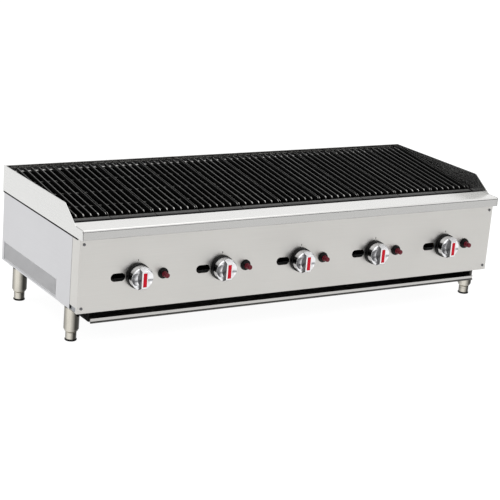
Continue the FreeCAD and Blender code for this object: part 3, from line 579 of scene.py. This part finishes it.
def add_index_marks(material):
    """Small painted line on the panel above each knob."""
    half_width, half_length, thickness = 0.0011, 0.0030, 0.0002
    mesh = bevelled_plate(rounded_rectangle(half_width, half_length, 0.0008), thickness, 0.00008,
                          "index_mark")
    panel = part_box("front_panel")[0].y
    for number in range(1, MODULES + 1):
        low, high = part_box("knob_skirt_%d" % number)
        spot = Vector(((low.x + high.x) / 2, panel - thickness, high.z + 0.0085))
        add_piece("index_mark_%d" % number, mesh, material, ROOT,
                  place=Matrix.Translation(spot) @ FRONT_FACING)


# ---- shadow strips ------------------------------------------------------------------------------
SHADOW_STRIP_WIDTH = 0.0022
SHADOW_STRIP_HEIGHT = 0.0056


def add_guard_shadow_strip(side, label, face, under, material):
    """Black strip in the corner under a side guard, along the top of the side panel, as painted
    shade in the gap.
    """
    gap = 0.00005
    front, back = -0.254, 0.290
    section = rounded_rectangle(SHADOW_STRIP_WIDTH / 2, SHADOW_STRIP_HEIGHT / 2, 0.0004)
    bm = bmesh.new()
    loft(bm, [[((x + SHADOW_STRIP_WIDTH / 2) * side, y, z) for x, z in section] for y in (front, back)])
    spot = Vector((face + side * gap, 0.0, under - gap - SHADOW_STRIP_HEIGHT / 2))
    add_piece("seal_%s" % label, finish_mesh(bm, "shadow_strip", 50.0), material, ROOT,
              place=Matrix.Translation(spot))


def add_seam_shadow_strip(side, label, face, panel, under, material):
    """Black strip, set back in the seam between the front panel's return and the side panel, as
    painted shade.
    """
    depth, width, gap = 0.0012, 0.0010, 0.0003
    notch = 0.0165        # the front panel's return is cut away below this
    middle_y = panel.y - gap - width / 2
    section = rounded_rectangle(depth / 2, width / 2, 0.0003)
    bm = bmesh.new()
    extrude_outline(bm, [(face - side * (depth + x), middle_y + y) for x, y in section],
                    panel.z + notch, under - SHADOW_STRIP_HEIGHT - 0.0002)
    add_piece("seam_%s" % label, finish_mesh(bm, "seam", 50.0), material, ROOT)


def add_shadow_strips(material):
    # painted shade: black strips under each side guard and in each front corner seam
    for side, label in ((-1, "left"), (1, "right")):
        low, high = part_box("side_panel_%s" % label)
        face = low.x if side < 0 else high.x
        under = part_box("splash_guard_%s" % label)[0].z
        add_guard_shadow_strip(side, label, face, under, material)
        add_seam_shadow_strip(side, label, face, low, under, material)


# ---- fasteners ----------------------------------------------------------------------------------
PAN_HEIGHT = 0.0026
BOLT_HEIGHT = 0.0040


def pan_head_mesh():
    """Pan head with a cross recess, its back on z = 0."""
    radius, height = 0.0045, PAN_HEIGHT
    bm = bmesh.new()
    lathe(bm, [(0, 0), (radius, 0), (radius, height * 0.45), (radius * 0.95, height * 0.68),
               (radius * 0.80, height * 0.87), (radius * 0.55, height * 0.97), (0, height)], 40)
    head = finish_mesh(bm, "head")
    bm = bmesh.new()
    arm, half = radius * 0.58, radius * 0.13
    cross = [(arm, -half), (arm, half), (half, half), (half, arm), (-half, arm), (-half, half),
             (-arm, half), (-arm, -half), (-half, -half), (-half, -arm), (half, -arm),
             (half, -half)]
    deep = [(x * 0.45, y * 0.45) for x, y in cross]
    loft(bm, [[(x, y, height * 0.25) for x, y in deep], [(x, y, height * 1.3) for x, y in cross]])
    return boolean(head, finish_mesh(bm, "cross"), "DIFFERENCE")


def hex_bolt_mesh():
    """Hexagon head with a chamfered end, hanging down from z = 0."""
    corner, height = 0.0052, BOLT_HEIGHT
    bm = bmesh.new()
    rings = []
    for radius, z in ((corner, 0.0), (corner, -height * 0.85), (corner * 0.86, -height)):
        rings.append([(radius * math.cos(math.radians(60 * i)),
                       radius * math.sin(math.radians(60 * i)), z) for i in range(6)])
    loft(bm, rings)
    return finish_mesh(bm, "bolt", 20.0)


def add_fasteners(material):
    """One piece with every screw and bolt head, placed on the CAD fasteners."""
    pan = pan_head_mesh()
    bolt = hex_bolt_mesh()
    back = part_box("back_panel")[0].y
    bm = bmesh.new()
    for index, (low, high) in enumerate(islands("screws")):
        middle = centre((low, high))
        size = high - low
        spin = Matrix.Rotation(math.radians(37.0 * index), 4, "Z")
        if abs(size.x - size.z) < 1e-4:
            facing_back = middle.y > back - 0.05
            turn = Matrix.Rotation(math.radians(-90 if facing_back else 90), 4, "X")
            y = high.y - PAN_HEIGHT if facing_back else low.y + PAN_HEIGHT
            place = Matrix.Translation((middle.x, y, middle.z)) @ turn @ spin
            source = pan
        else:
            place = Matrix.Translation((middle.x, middle.y, low.z + BOLT_HEIGHT)) @ spin
            source = bolt
        part = source.copy()
        part.transform(place)
        bm.from_mesh(part)
        bpy.data.meshes.remove(part)
    mesh = bpy.data.meshes.new("fasteners")
    bm.to_mesh(mesh)
    bm.free()
    mesh.shade_smooth()
    mesh.set_sharp_from_angle(angle=math.radians(32))
    mesh.materials.clear()
    add_piece("fastener_heads", mesh, material, ROOT, ["screws"])


# ---- feet ---------------------------------------------------------------------------------------
FOOT_PAD = 0.005          # thickness of the disc under each foot
DISC_R = 0.0182
BARREL_R = 0.0166
THREAD_PITCH = 0.0015
THREAD_TURNS = 26


def foot_mesh():
    """Turned cup with a waist groove, shoulder and a ringed stem in place of a thread."""
    r = BARREL_R
    profile = [(0, FOOT_PAD - 0.0002), (r - 0.0008, FOOT_PAD - 0.0002),
               (r - 0.0002, FOOT_PAD + 0.0006), (r, FOOT_PAD + 0.0016), (r, 0.0195),
               (r - 0.0004, 0.0200), (r - 0.0004, 0.0208), (r, 0.0213), (r, 0.0250),
               (r - 0.0004, 0.0264), (r - 0.0015, 0.0274), (0.0062, 0.0275)]
    for i in range(THREAD_TURNS):
        z = 0.0278 + i * THREAD_PITCH
        profile += [(0.0053, z), (0.0053, z + 0.0002), (0.0060, z + 0.0007), (0.0060, z + 0.0009)]
    profile += [(0.0052, 0.0674), (0, 0.0675)]
    bm = bmesh.new()
    lathe(bm, profile, 64)
    return finish_mesh(bm, "foot", 30.0)


def foot_pad_mesh():
    r = DISC_R
    profile = [(0, 0.0), (r - 0.0014, 0.0), (r - 0.0008, 0.0004), (r, 0.0016), (r, 0.0042),
               (r - 0.0004, 0.0048), (r - 0.0010, FOOT_PAD), (0, FOOT_PAD)]
    bm = bmesh.new()
    lathe(bm, profile, 64)
    return finish_mesh(bm, "pad", 30.0)


def add_feet(steel, rubber):
    cup = foot_mesh()
    pad = foot_pad_mesh()
    for end in ("front", "rear"):
        for side in ("left", "right"):
            node = "foot_%s_%s" % (end, side)
            middle = centre(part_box(node))
            place = Matrix.Translation((middle.x, middle.y, 0.0))
            add_piece("foot_cup_%s_%s" % (end, side), cup, steel, node, [node], place)
            add_piece("foot_pad_%s_%s" % (end, side), pad, rubber, node,
                      place=place)


# ---- studio -------------------------------------------------------------------------------------
def add_floor():
    """Wide pale floor, lit from below like a light table so that shadows stay faint."""
    g = Graph("pale_floor", Metallic=0.0, Roughness=0.9)
    g.set("Specular IOR Level", 0.1)
    mottle = g.noise((0.7, 0.7, 0.7), detail=3.0)
    g.set("Base Color", g.mix(mottle, (0.16, 0.16, 0.16, 1.0), (0.17, 0.17, 0.17, 1.0)))
    g.set("Emission Color", g.mix(mottle, (0.995, 0.995, 0.995, 1.0), (1.0, 1.0, 1.0, 1.0)))
    g.set("Emission Strength", 0.945)
    bm = bmesh.new()
    half = 40.0
    bm.faces.new([bm.verts.new((x, y, 0.0))
                  for x, y in ((-half, -half), (half, -half), (half, half), (-half, half))])
    mesh = bpy.data.meshes.new("floor")
    bm.to_mesh(mesh)
    bm.free()
    mesh.materials.append(g.material)
    floor = bpy.data.objects.new("floor", mesh)
    bpy.context.scene.collection.objects.link(floor)


def add_area_light(name, place, target, size, power):
    data = bpy.data.lights.new(name, "AREA")
    data.shape = "RECTANGLE"
    data.size, data.size_y = size
    data.energy = power
    light = bpy.data.objects.new(name, data)
    light.location = place
    light.rotation_mode = "QUATERNION"
    light.rotation_quaternion = (Vector(target) - Vector(place)).to_track_quat("-Z", "Y")
    bpy.context.scene.collection.objects.link(light)


def add_world():
    """White surround with a dark screen low in front, which gives bright metal its contrast."""
    world = bpy.data.worlds.new("studio")
    world.use_nodes = True
    tree = world.node_tree
    background = tree.nodes["Background"]
    direction = tree.nodes.new("ShaderNodeTexCoord").outputs["Generated"]
    split = tree.nodes.new("ShaderNodeSeparateXYZ")
    tree.links.new(direction, split.inputs["Vector"])

    def ramp(socket, low, high, out_low, out_high):
        node = tree.nodes.new("ShaderNodeMapRange")
        node.interpolation_type = "SMOOTHSTEP"
        tree.links.new(split.outputs[socket], node.inputs[0])
        for index, value in enumerate((low, high, out_low, out_high), 1):
            node.inputs[index].default_value = value
        return node.outputs["Result"]

    def product(a, b):
        node = tree.nodes.new("ShaderNodeMath")
        node.operation = "MULTIPLY"
        tree.links.new(a, node.inputs[0])
        tree.links.new(b, node.inputs[1])
        return node.outputs["Value"]

    in_front = ramp("Y", -0.30, 0.0, 1.0, 0.0)
    low_down = ramp("Z", 0.26, 0.48, 1.0, 0.0)
    mix = tree.nodes.new("ShaderNodeMix")
    mix.data_type = "RGBA"
    tree.links.new(product(in_front, low_down), mix.inputs[0])
    mix.inputs[6].default_value = (1.0, 1.0, 1.0, 1.0)
    mix.inputs[7].default_value = (0.16, 0.16, 0.165, 1.0)
    tree.links.new(mix.outputs[2], background.inputs["Color"])
    background.inputs["Strength"].default_value = 1.02
    bpy.context.scene.world = world


def add_camera():
    """Three-quarter view from the left and above, with a slight roll."""
    place = Vector((-2.577, -4.014, 1.557))
    azimuth, elevation, roll = (math.radians(a) for a in (32.53, 16.38, 4.85))
    forward = Vector((math.sin(azimuth) * math.cos(elevation),
                      math.cos(azimuth) * math.cos(elevation), -math.sin(elevation)))
    data = bpy.data.cameras.new("camera")
    data.sensor_width = 36.0
    data.lens = 109.72
    data.clip_end = 200.0
    camera = bpy.data.objects.new("camera", data)
    camera.location = place
    camera.rotation_mode = "QUATERNION"
    level = forward.to_track_quat("-Z", "Y")
    camera.rotation_quaternion = level @ Quaternion((0, 0, 1), roll)
    bpy.context.scene.collection.objects.link(camera)
    bpy.context.scene.camera = camera


# ---- build --------------------------------------------------------------------------------------
# The legs and foot cups are painted darker on this side, as shade and dark reflection.
PAINTED_SHADE_SIDE = (0.843, -0.538)      # right and slightly to the front, as (x, y)
STEEL = (0.597, 0.586, 0.562)
# Sides of the knob rim painted near black as dark reflections:
KNOB_DARK_REFLECTIONS = ((-0.985, 0.174, 0.05), (-0.64, -0.77, 0.05))     # left, and lower left
# Rib flanks: the seasoned iron's black, pushed near zero as painted shade between the ribs.
GRATE_BLACK_AND_SHADE = (0.0008, 0.0008, 0.0008)
# Painted shade over the front bar, darkest at its front edge; painted highlights on the rib ends,
# front and rear.
GRATE_PAINTED_BANDS = ((-0.001, 0.007, 0.02), (0.009, 0.021, 0.45), (0.0355, 0.0425, 6.0),
              (0.4195, 0.428, 5.0))
GRATE_FACE = (0.076, 0.075, 0.072, 1)
GRATE_FACE_WORN = (0.106, 0.105, 0.101, 1)
TRAY_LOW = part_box("drip_tray")[0]
TRAY_LIP_BACK = TRAY_LOW.y + 0.0050
TRAY_RIM_TOP = TRAY_LOW.z + 0.0046

materials = {
    "panel": brushed_steel("panel_steel", STEEL, 0.36, "x"),
    "side": brushed_steel("side_steel", (0.583, 0.583, 0.597), 0.36, "y"),
    "guard": brushed_steel("guard_steel", (0.665, 0.665, 0.655), 0.24, "y"),
    # The rail's upright nose is painted darker than its top, as shade.
    "rail": brushed_steel("rail_steel", (0.76, 0.755, 0.74), 0.20, "x", front=0.63),
    "vent": brushed_steel("vent_steel", (0.62, 0.62, 0.63), 0.42, "y"),
    "inner": fired_metal("firebox_steel", (0.05, 0.048, 0.045, 1), (0.012, 0.011, 0.010, 1), 0.55),
    "frame": galvanised("frame_zinc", (0.30, 0.31, 0.32)),
    # Tray runners painted near black, as the shade under the cabinet.
    "runner": moulded("runner_black_shade", (0.004, 0.004, 0.004), 0.45, gloss=0.25),
    "tray": shaded_greasy_steel("tray_steel", (0.53, 0.52, 0.505), TRAY_LIP_BACK, TRAY_RIM_TOP),
    "grate": cast_iron("grate_iron", GRATE_BLACK_AND_SHADE, GRATE_FACE, 0.40, GRATE_PAINTED_BANDS),
    "grate_worn": cast_iron("grate_iron_worn", GRATE_BLACK_AND_SHADE, GRATE_FACE_WORN, 0.40, GRATE_PAINTED_BANDS),
    "burner": cast_iron("burner_iron", (0.05, 0.045, 0.04), (0.09, 0.08, 0.07, 1), 0.6),
    "pipe": cast_iron("pipe_iron", (0.03, 0.03, 0.03), (0.05, 0.05, 0.05, 1), 0.5),
    "brass": turned_steel("valve_brass", (0.72, 0.52, 0.24), 0.3),
    "chrome": chrome("knob_chrome", (0.84, 0.84, 0.855, 1.0), 0.26, KNOB_DARK_REFLECTIONS),
    "black": moulded("black_plastic", (0.002, 0.002, 0.0022), 0.30, gloss=0.16),
    "mark": moulded("black_paint", (0.02, 0.02, 0.022), 0.6),
    # Black strips that stand for shade in gaps.
    "shadow_strip": moulded("seal_rubber", (0.002, 0.002, 0.002), 0.6, gloss=0.05),
    "button": moulded("button_plastic", (0.13, 0.002, 0.012), 0.28, gloss=0.3),
    "pointer": moulded("pointer_enamel", (0.58, 0.003, 0.018), 0.40, gloss=0.15, texture=0.3),
    "leg": turned_steel("leg_steel", (0.66, 0.63, 0.56), 0.16, shadow=PAINTED_SHADE_SIDE),
    "screw": turned_steel("screw_steel", (0.14, 0.14, 0.15), 0.34),
}

NODE_MATERIALS = {
    "panel": ["front_panel"],
    "tray": ["drip_tray"],
    "side": ["side_panel_left", "side_panel_right", "back_panel"],
    "guard": ["splash_guard_left", "splash_guard_right"],
    "rail": ["top_rail", "rear_cap"],
    "vent": ["vent_screens"],
    "inner": ["firebox_walls"],
    "frame": ["base_frame", "corner_posts"],
    "runner": ["tray_runners"],
    "burner": ["burners", "radiants", "grate_rails", "support_bars"],
    "pipe": ["gas_manifold", "gas_inlet"],
    "brass": ["gas_valves", "orifice_hoods", "pilot_burners"],
    "chrome": ["knob_%d" % i for i in range(1, MODULES + 1)],
    "black": ["igniter_sockets"] + ["knob_skirt_%d" % i for i in range(1, MODULES + 1)],
    "button": ["igniter_button_%d" % i for i in range(1, MODULES + 1)],
    "leg": ["legs"],
    "screw": ["valve_stem_%d" % i for i in range(1, MODULES + 1)],
}

for key, nodes in NODE_MATERIALS.items():
    for node in nodes:
        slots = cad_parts[node].data.materials
        slots.clear()
        slots.append(materials[key])

add_grates(materials["grate"], materials["grate_worn"])
add_pointers(materials["pointer"])
add_index_marks(materials["mark"])
add_shadow_strips(materials["shadow_strip"])
add_fasteners(materials["screw"])
add_feet(materials["leg"], materials["black"])

add_floor()
add_world()
add_area_light("key", (-1.6, -3.2, 3.4), (0, 0, 0.2), (3.0, 2.0), 14)
add_area_light("top", (0.3, 0.6, 3.2), (0, 0, 0.3), (3.5, 2.5), 14)
add_camera()
bpy.context.scene.view_settings.view_transform = "Standard"

bpy.context.view_layer.update()
